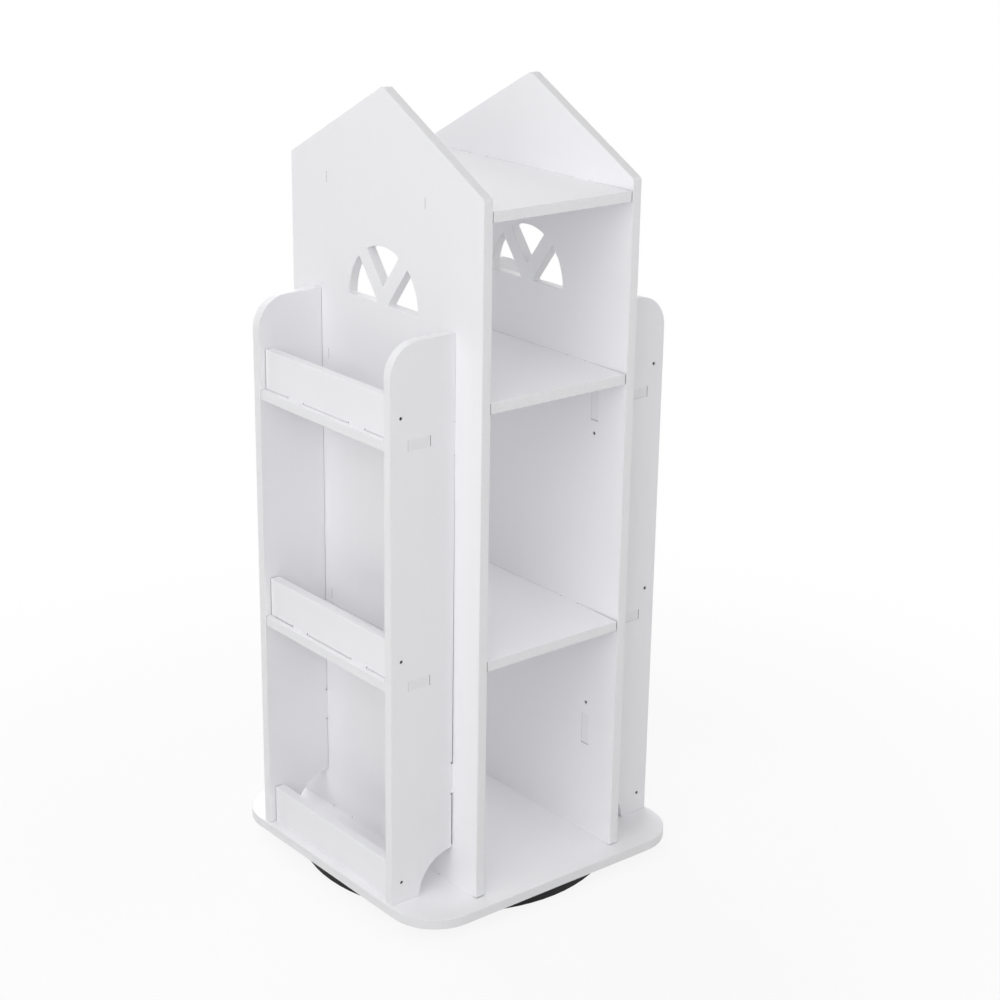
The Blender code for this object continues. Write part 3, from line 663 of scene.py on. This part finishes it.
lipPlaces = (("upper", rack["upperShelf"]), ("middle", rack["lowerShelf"]), ("bottom", 0.0))


def screwSeat(u, v, side):
    outline = roundShape(u, v, screw["headRadius"] + screw["seatGap"], screw["seatSides"])
    return outline, side, screw["sink"] + screw["headHeight"]


tight, slack, fair, loose = board["tightGap"], board["sideGap"], board["fairGap"], board["looseGap"]
standPlay = (tight, tight, tight, slack)                 # round a tab that stands in a level board
boardFinish = ("face", "edge", "joint")
gableFinish = (*boardFinish, "reveal")
shelfFinish = ("face", "shelfEdge", "joint")


# Base plate

basePlate = {
    "cornerRadius": 0.055,
    "gableTabWidth": 0.0345,
    "gableTabSpacing": 0.1645,
    "screwSpacing": 0.240,
}


def makeBasePlate():
    size, corner = plateHigh.x, basePlate["cornerRadius"]
    path = [(-size, -size, corner), (size, -size, corner), (size, size, corner), (-size, size, corner)]
    slots = []
    seats = []
    for signX in (-1, 1):
        for signY in (-1, 1):
            lipPlace = (signX * (gableOuter + lipMiddle), signY * lip["tabSpacing"] / 2)
            gablePlace = (signX * gableMiddle, signY * basePlate["gableTabSpacing"] / 2)
            slots.append(slotShape(*lipPlace, board["thickness"], lip["tabWidth"], standPlay))
            slots.append(slotShape(*gablePlace, board["thickness"], basePlate["gableTabWidth"], standPlay))
            seats.append(screwSeat(signX * gableMiddle, signY * basePlate["screwSpacing"] / 2, -1))
    bm = boardShape(path, lambda u, v: True, lambda u, v: False, slots=slots, seats=seats)
    mesh = placeMesh(bm, "plate", Matrix.Translation((0, 0, plateLow.z + halfBoard)))
    addPiece("plate", mesh, boardFinish, "tower", "base_plate")


makeBasePlate()
print("base plate made")


# Gable panels

gable = {
    "eave": 0.754,
    "apex": 0.842,
    "eaveRadius": 0.004,
    "apexRadius": 0.008,
    "sill": 0.6195,
    "windowRadius": 0.060,
    "windowCorner": 0.0014,
    "windowSteps": (10, 12),           # along the rim of a side opening and of the middle one
    "spokeWidth": 0.0177,
    "spokeLean": math.radians(37.5),
    "spokeMeeting": 0.0033,
    "shelves": (("top", 0.7416), ("upper", 0.550), ("lower", 0.2725)),
    "shelfTabWidth": 0.0275,
    "shelfTabSpacing": 0.171,
    "seat": 0.00005,
    "footGaps": {"left": 0.0011, "right": 0.0009},      # under the front corner, towards the plate
    "footReliefs": {"left": 0.0012, "right": 0.0003},
    "footLength": 0.008,
}


def circleCrossing(point, direction, centre, radius):
    offset = point - centre
    along = offset.dot(direction)
    return point + direction * (math.sqrt(along * along - offset.length_squared + radius * radius) - along)


def windowShapes(outset):
    # three openings between two leaning spokes and the half-round rim, each wider by the outset all round
    radius, corner = gable["windowRadius"] + outset, gable["windowCorner"] + outset
    centre = Vector((0.0, gable["sill"]))
    sill = centre.y - outset
    meeting = Vector((0.0, centre.y + gable["spokeMeeting"]))
    along = Vector((math.sin(gable["spokeLean"]), math.cos(gable["spokeLean"])))
    across = Vector((along.y, -along.x)) * (gable["spokeWidth"] / 2 - outset)
    foot = meeting + across
    foot = foot - along * (foot.y - sill) / along.y
    top = circleCrossing(foot, along, centre, radius)
    start = -math.asin(outset / radius)
    sweep = math.atan2(top.y - centre.y, top.x) - start
    right = shapePoints([(*foot, corner), (radius * math.cos(start), sill, corner),
                         (tuple(centre), sweep, gable["windowSteps"][0])])
    crotch = meeting - across
    crotch = crotch - along * crotch.x / along.x
    end = circleCrossing(crotch, along, centre, radius)
    span = math.atan2(end.y - centre.y, end.x)
    middle = shapePoints([(*crotch, corner), (*end, corner),
                          (tuple(centre), math.pi - 2 * span, gable["windowSteps"][1])])
    left = [Vector((-point.x, point.y, 0)) for point in reversed(right)]
    return [right, middle, left]


def windowStacks():
    # the outlines from one face of the panel to the other, wider towards both faces
    reach, steps = board["edgeRound"], board["edgeSteps"]
    levels = []
    for side in (-1, 1):
        for i in range(steps + 1):
            turn = math.pi / 2 * i / steps
            levels.append((side * (halfBoard - reach * (1 - math.cos(turn))), reach * (1 - math.sin(turn))))
    levels.sort()
    shapes = [windowShapes(outset) for _, outset in levels]
    return [[(shape[i], level) for shape, (level, _) in zip(shapes, levels)] for i in range(len(shapes[0]))]


def makeGable(isLeft):
    width, seat, hand = gableHalfWidth, gable["seat"], halfNames(isLeft)[0]
    foot = [(width - gable["footLength"], seat), (width, gable["footGaps"][hand])]
    path = [(-width, seat)] if isLeft else [(-u, v) for u, v in reversed(foot)]
    for sign in (-1, 1):
        middle = sign * basePlate["gableTabSpacing"] / 2
        path += tabCorners(middle, basePlate["gableTabWidth"], seat, boardEnd, gable["footReliefs"][hand])
    path += foot if isLeft else [(width, seat)]
    path += [(width, gable["eave"], gable["eaveRadius"]), (0.0, gable["apex"], gable["apexRadius"]),
             (-width, gable["eave"], gable["eaveRadius"])]
    shelfPlay = (fair, tight, tight, tight) if isLeft else (slack, loose, tight, tight)
    sidePlay = (slack, tight, loose, tight) if isLeft else (tight, slack, loose, tight)
    slots = []
    seats = []
    for sign in (-1, 1):
        for _, height in gable["shelves"]:
            middle = sign * gable["shelfTabSpacing"] / 2
            size = (gable["shelfTabWidth"], board["thickness"])
            slots.append(slotShape(middle, height - halfBoard, *size, shelfPlay))
        for height in rack["sideTabs"]:
            size = (board["thickness"], rack["sideTabLength"])
            slots.append(slotShape(sign * sideMiddle, height, *size, sidePlay))
        for _, height in sideScrews:
            seats.append(screwSeat(sign * sideMiddle, height, -1))
    bm = boardShape(path, lambda u, v: v > 2 * board["relief"],
                    lambda u, v: boardEnd + whisker < v < 2 * board["relief"] and abs(u) < width - whisker,
                    windowStacks(), slots, seats)
    spot = Matrix.Translation((gableMiddle, 0, plateTop)) @ alongX
    mesh = placeMesh(bm, "gable_" + hand, turned(spot, isLeft))
    addPiece("gable_" + hand, mesh, gableFinish, "tower", "gable_panel_" + hand)


for isLeft in (False, True):
    makeGable(isLeft)
print("gable panels made")


# Shelves between the gable panels

towerShelf = {
    "setback": 0.001,
    "tightEnd": 0.00010,       # shoulder gaps at the shelf's two ends
    "looseEnd": 0.00028,
    "cornerGaps": (0.0011, 0.0014),     # the front corners stand further off, left and right
}


def makeTowerShelf(name, height):
    front = gableHalfWidth - towerShelf["setback"]
    rightEnd = gableInner - towerShelf["looseEnd"]
    leftEnd = -gableInner + towerShelf["tightEnd"]
    path = [(gableInner - towerShelf["cornerGaps"][1], -front)]
    for sign in (-1, 1):
        tab = tabCorners(sign * gable["shelfTabSpacing"] / 2, gable["shelfTabWidth"], rightEnd, gableOuter)
        path += [(u, v) for v, u in tab]
    path += [(rightEnd, front), (leftEnd, front)]
    for sign in (1, -1):
        tab = tabCorners(sign * gable["shelfTabSpacing"] / 2, gable["shelfTabWidth"], leftEnd, -gableOuter)
        path += [(u, v) for v, u in reversed(tab)]
    path.append((towerShelf["cornerGaps"][0] - gableInner, -front))
    inside = gableInner - 2 * board["relief"]
    reach = front - board["cornerReach"]
    bm = boardShape(path, lambda u, v: abs(v) > front - whisker,
                    lambda u, v: inside < abs(u) < gableOuter - whisker and abs(v) < reach)
    for face in bm.faces:
        if abs(face.calc_center_median().x) > gableOuter - board["edgeRound"]:
            face.material_index = 0         # the tabs' ends are painted with the gable panels
    mesh = placeMesh(bm, "shelf_" + name, Matrix.Translation((0, 0, plateTop + height - halfBoard)))
    addPiece("shelf_" + name, mesh, shelfFinish, "tower", name + "_shelf")


for name, height in gable["shelves"]:
    makeTowerShelf(name, height)
print("tower shelves made")


# Racks, drawn for the right half: U = 0 is the gable panel's outer face

def makeRackSide(isLeft, side):
    depth, height, corner, notch = rack["depth"], rack["height"], rack["cornerRadius"], rack["notchRadius"]
    end = rack["notchEndRadius"]
    topGap, middleGap, lowGap = rack["seatGaps"]["standing off" if isLeft == (side == 1) else "close"]
    path = [(depth, board["seat"]), (depth, height, corner), (topGap, height)]
    for middle, seat, relief in zip(rack["sideTabs"], (topGap, middleGap), rack["sideTabReliefs"]):
        tab = tabCorners(middle, rack["sideTabLength"], seat, boardEnd, relief)
        path += [(u, v) for v, u in reversed(tab)]
    path[-1] = (lowGap, path[-1][1])
    near = board["seat"] + end                      # the notch's two ends are rounded off
    far = math.sqrt((notch + end) ** 2 - near ** 2)
    lean = math.atan2(near, far)
    endSteps, archSteps = rack["notchSteps"]
    path += [(lowGap, far + end), (board["seat"], far), ((near, far), math.pi / 2 - lean, endSteps),
             ((0.0, 0.0), 2 * lean - math.pi / 2, archSteps), ((far, near), math.pi / 2 - lean, endSteps)]
    play = (loose, slack, tight, tight) if isLeft else (slack, loose, slack, tight)
    slots = []
    for top in (rack["upperShelf"], rack["lowerShelf"]):
        size = (rack["shelfTabWidth"], board["thickness"])
        slots.append(slotShape(shelfTabMiddle, top - halfBoard, *size, play))
    seats = [screwSeat(lipMiddle, top + lip["screwHeight"], -side) for _, top in lipPlaces]
    bm = boardShape(path, lambda u, v: u > 2 * board["relief"] and v > 2 * board["seat"],
                    lambda u, v: boardEnd + whisker < u < 2 * board["relief"] and far < v < height - whisker,
                    slots=slots, seats=seats)
    spot = Matrix.Translation((gableOuter, side * sideMiddle, plateTop)) @ alongY
    return bm, turned(spot, isLeft)


def makeRackShelf(isLeft, top):
    front, seat = rack["depth"] - towerShelf["setback"], board["seat"]
    shoulder, outer = sideInner - seat, rack["width"] / 2
    near = [(seat, -shoulder)]
    near += tabCorners(shelfTabMiddle, rack["shelfTabWidth"], -shoulder, -outer)
    near.append((front, -shoulder))
    path = near + [(u, -v) for u, v in reversed(near)]
    slots = []
    for sign in (-1, 1):
        middle = sign * lip["tabSpacing"] / 2
        slots.append(slotShape(lipMiddle, middle, board["thickness"], lip["tabWidth"], standPlay))
    inside = shoulder - 2 * board["relief"]
    reach = front - board["cornerReach"]
    bm = boardShape(path, lambda u, v: u > front - whisker,
                    lambda u, v: u < 2 * seat or (u < reach and inside < abs(v) < outer - whisker),
                    slots=slots)
    return bm, turned(Matrix.Translation((gableOuter, 0, plateTop + top - halfBoard)), isLeft)


def makeLip(isLeft, top, seat, relief):
    end, height = sideInner - lip["endGap"], lip["height"]
    path = [(-end, seat)]
    for sign in (-1, 1):
        path += tabCorners(sign * lip["tabSpacing"] / 2, lip["tabWidth"], seat, boardEnd, relief)
    path += [(end, seat), (end, height), (-end, height)]
    bm = boardShape(path, lambda u, v: v > height - whisker,
                    lambda u, v: boardEnd + whisker < v < 2 * board["relief"] or abs(u) > end - whisker)
    for face in bm.faces:
        if face.calc_center_median().y > height - 2 * board["edgeRound"]:
            face.material_index = 0                 # its top is as smooth as its faces
    spot = Matrix.Translation((gableOuter + lipMiddle, 0, plateTop + top)) @ alongX
    return bm, turned(spot, isLeft)


def addBoard(name, node, made):
    bm, spot = made
    addPiece(name, placeMesh(bm, name, spot), boardFinish, "tower", node)


for isLeft in (False, True):
    hand, sides = halfNames(isLeft)
    for side, end in sides:
        addBoard(f"{hand}_side_{end}", f"{hand}_rack_{end}_side", makeRackSide(isLeft, side))
    for name, top in (("upper", rack["upperShelf"]), ("lower", rack["lowerShelf"])):
        addBoard(f"{hand}_ledge_{name}", f"{hand}_rack_{name}_shelf", makeRackShelf(isLeft, top))
    for name, top in lipPlaces:
        addBoard(f"{hand}_lip_{name}", f"{hand}_rack_{name}_lip", makeLip(isLeft, top, *lip["seats"][name]))
print("racks made")


# Wood screws with a cross recess, each at its place in the boards

def screwRings(bm, rings, steps):
    # draws a ring out through (radius, height) steps and closes the last one
    radius, level = steps[0]
    for nextRadius, nextLevel in steps[1:]:
        made = bmesh.ops.extrude_edge_only(bm, edges=rings)["geom"]
        verts = newParts(made, bmesh.types.BMVert)
        factor = nextRadius / radius
        bmesh.ops.scale(bm, vec=(factor, factor, 1), verts=verts)
        bmesh.ops.translate(bm, verts=verts, vec=(0, 0, nextLevel - level))
        rings = farEdges(made, verts)
        radius, level = nextRadius, nextLevel
    bmesh.ops.edgeloop_fill(bm, edges=rings)


def makeScrew(name, node, point, inward, size):
    bm = bmesh.new()
    bmesh.ops.create_circle(bm, cap_ends=False, radius=size["crown"], segments=size["sides"])
    rim = bm.edges[:]
    arm, width = size["recessArm"], size["recessWidth"] / 2
    cross = [(arm, -width), (arm, width), (width, width), (width, arm), (-width, arm), (-width, width),
             (-arm, width), (-arm, -width), (-width, -width), (-width, -arm), (width, -arm), (width, -width)]
    recess = addRing(bm, [Vector((u, v, 0)) for u, v in cross], 0)
    bmesh.ops.triangle_fill(bm, use_beauty=True, use_dissolve=False, edges=rim + recess, normal=(0, 0, 1))
    deeper = [(share, -size["recessDepth"] * depth) for share, depth in size["recessSteps"]]
    screwRings(bm, recess, ((1.0, 0.0), *deeper))
    core, tip = size["core"], -size["length"]
    screwRings(bm, rim, ((size["crown"], 0.0), *size["head"], (core, size["head"][-1][1] - size["neck"]),
                         (core, tip + size["tip"]), (core * size["tipShare"], tip)))
    bmesh.ops.recalc_face_normals(bm, faces=bm.faces)
    start, turns, rise = size["threadStart"], size["threadTurns"], size["threadRise"]
    ridge = [bm.verts.new((reach, 0.0, -start + level)) for reach, level in
             ((core - whisker, rise), (size["thread"], 0.0), (core - whisker, -rise))]
    loop = [bm.edges.new((ridge[i - 1], ridge[i])) for i in range(3)]
    around = size["sides"]
    pitch = (size["length"] - size["tip"] - start - 2 * rise) / turns
    before = set(bm.faces)
    bmesh.ops.spin(bm, geom=ridge + loop, cent=(0, 0, 0), axis=(0, 0, 1), dvec=(0, 0, -pitch / around),
                   angle=2 * math.pi * turns, steps=around * turns, use_merge=False, use_duplicate=False)
    bmesh.ops.holes_fill(bm, edges=[edge for edge in bm.edges if edge.is_boundary], sides=3)
    bmesh.ops.recalc_face_normals(bm, faces=[face for face in bm.faces if face not in before])
    for face in bm.faces:
        face.smooth = True
    turn = (-Vector(inward)).to_track_quat("Z", "Y").to_matrix().to_4x4()
    sunk = Matrix.Translation(Vector(point) + Vector(inward) * size["sink"])
    spin = Matrix.Rotation(size["turn"] * len(scene.objects), 4, "Z")
    mesh = placeMesh(bm, name, sunk @ turn @ spin)
    addPiece(name, mesh, ("screw",), "tower", node, size["sharpAngle"])


def makeWoodScrews():
    count = 0
    for isLeft in (False, True):
        hand, sides = halfNames(isLeft)
        for side, end in sides:
            for place, top in lipPlaces:
                x, y = turnPoint(gableOuter + lipMiddle, side * rack["width"] / 2, isLeft)
                inward = (0, side if isLeft else -side, 0)
                name = f"{hand}_lip_screw_{end}_{place}"
                point = (x, y, plateTop + top + lip["screwHeight"])
                makeScrew("screw_" + name, name, point, inward, screw)
            for place, height in sideScrews:
                x, y = turnPoint(gableInner, side * sideMiddle, isLeft)
                inward = (-1 if isLeft else 1, 0, 0)
                name = f"{hand}_gable_screw_{end}_{place}"
                makeScrew("screw_" + name, name, (x, y, plateTop + height), inward, screw)
            x, y = turnPoint(gableMiddle, side * basePlate["screwSpacing"] / 2, isLeft)
            name = f"{hand}_base_screw_{end}"
            makeScrew("screw_" + name, name, (x, y, plateLow.z), (0, 0, 1), screw)
            count += 1 + len(lipPlaces) + len(sideScrews)
    return count


print("wood screws made:", makeWoodScrews())


# Carried-over nodes get their finish

for name, item in frame["nodes"].items():
    if item.hide_render:
        continue
    if "swivel" in name or name in ("pivot_bolt", "pivot_nut"):
        material = finish["zinc"]
    elif "screw" in name:
        material = finish["screw"]
    elif name == "turntable_disc":
        material = finish["disc"]
    elif name == "glide_ring":
        material = finish["nylon"]
    else:
        material = finish["rubber"]
    for materialSlot in item.material_slots:
        materialSlot.material = material
print("carried-over nodes finished")


# Floor and background

stage = {
    "size": 30.0,
    "colour": (0.80, 0.80, 0.80),
    "shadowShare": 0.12,          # how much of the floor's own shading the view shows
    "shadowReach": (0.35, 1.10),  # and where that fades to nothing, in metres from the middle
}


def whiteSeen(tree):
    # one for the rays from the camera and for reflections, none for the light on the object
    path = tree.nodes.new("ShaderNodeLightPath")
    rays = [Wire(tree, path.outputs[f"Is {kind} Ray"]) for kind in ("Camera", "Glossy", "Transmission")]
    return (rays[0] + rays[1] + rays[2]).atMost(1.0)


def makeFloor():
    bm = bmesh.new()
    bmesh.ops.create_grid(bm, x_segments=8, y_segments=8, size=stage["size"] / 2)
    mesh = bpy.data.meshes.new("floor")
    bm.to_mesh(mesh)
    bm.free()
    floor = bpy.data.objects.new("floor", mesh)
    scene.collection.objects.link(floor)
    made = Paint("floor", 1.0)
    made.feed(colour=stage["colour"])
    near, far = stage["shadowReach"]
    spot = made.node("TexCoord", output="Object")
    away = made.node("VectorMath", {"operation": "LENGTH"}, {0: spot}, "Value")
    fade = {"Value": away, "From Min": near, "From Max": far, "To Min": stage["shadowShare"], "To Max": 0.0}
    shown = made.node("MapRange", {"interpolation_type": "SMOOTHSTEP"}, fade)
    shaded = Wire(made.tree, made.shader.outputs[0])
    white = made.node("Emission", None, {"Color": (1.0, 1.0, 1.0), "Strength": 1.0})
    share = whiteSeen(made.tree) * (1.0 - shown)
    mixed = made.node("MixShader", None, {0: share, 1: shaded, 2: white})
    made.tree.links.new(mixed.socket, made.tree.nodes["Material Output"].inputs["Surface"])
    mesh.materials.append(made.material)


makeFloor()


# Light

light = {
    "lamps": (                     # azimuth and elevation in degrees, power, height of the lamp
        ("frontLamp", 232, 38, 13.0, 2.8),
        ("upperLeftLamp", 200, 38, 31.5, 2.8),
        ("leftLamp", 205, 14, 13.5, 1.9),
        ("rightLamp", 310, 14, 14.5, 1.9),
        ("upperRightLamp", 320, 38, 15.5, 2.8),
        ("backLamp", 60, 14, 15.0, 1.9),
        ("farLamp", 90, 14, 17.0, 1.9),
        ("upperFarLamp", 90, 38, 34.5, 2.8),
    ),
    "width": 2.8,
    "distance": 2.6,
    "aim": (0.0, 0.0, 0.43),
}


def makeWorld():
    # white behind the object, and no light of its own on it
    world = bpy.data.worlds.new("room")
    scene.world = world
    world.use_nodes = True
    tree = world.node_tree
    room = tree.nodes["Background"]
    room.inputs["Color"].default_value = (1.0, 1.0, 1.0, 1.0)
    connect(tree, room.inputs["Strength"], whiteSeen(tree))


def makeLamps():
    aim = Vector(light["aim"])
    for name, azimuth, elevation, power, height in light["lamps"]:
        lamp = bpy.data.objects.new(name, bpy.data.lights.new(name, "AREA"))
        lamp.data.shape = "RECTANGLE"
        lamp.data.size = light["width"]
        lamp.data.size_y = height
        lamp.data.energy = power
        turn, rise = math.radians(azimuth), math.radians(elevation)
        away = Vector((math.cos(turn) * math.cos(rise), math.sin(turn) * math.cos(rise), math.sin(rise)))
        lamp.location = aim + away * light["distance"]
        lamp.rotation_euler = (-away).to_track_quat("-Z", "Y").to_euler()
        lamp.visible_camera = False
        scene.collection.objects.link(lamp)


makeWorld()
makeLamps()
scene.view_settings.view_transform = "Standard"
print("floor and lights made")


# Camera, at the photograph's view

view = {
    "place": (-1.3286, -1.6943, 1.1742),
    "yaw": 0.6859,
    "pitch": -0.3399,
    "roll": 0.0152,
    "lens": 75.06,
}


def makeCamera():
    yaw, pitch, roll = view["yaw"], view["pitch"], view["roll"]
    forward = Vector((math.sin(yaw) * math.cos(pitch), math.cos(yaw) * math.cos(pitch), math.sin(pitch)))
    level = Vector((math.cos(yaw), -math.sin(yaw), 0.0))
    upright = level.cross(forward)
    right = level * math.cos(roll) + upright * math.sin(roll)
    up = upright * math.cos(roll) - level * math.sin(roll)
    camera = bpy.data.objects.new("camera", bpy.data.cameras.new("camera"))
    camera.data.lens = view["lens"]
    scene.collection.objects.link(camera)
    turn = Matrix((right, up, -forward)).transposed().to_4x4()
    camera.matrix_world = Matrix.Translation(view["place"]) @ turn
    scene.camera = camera


makeCamera()
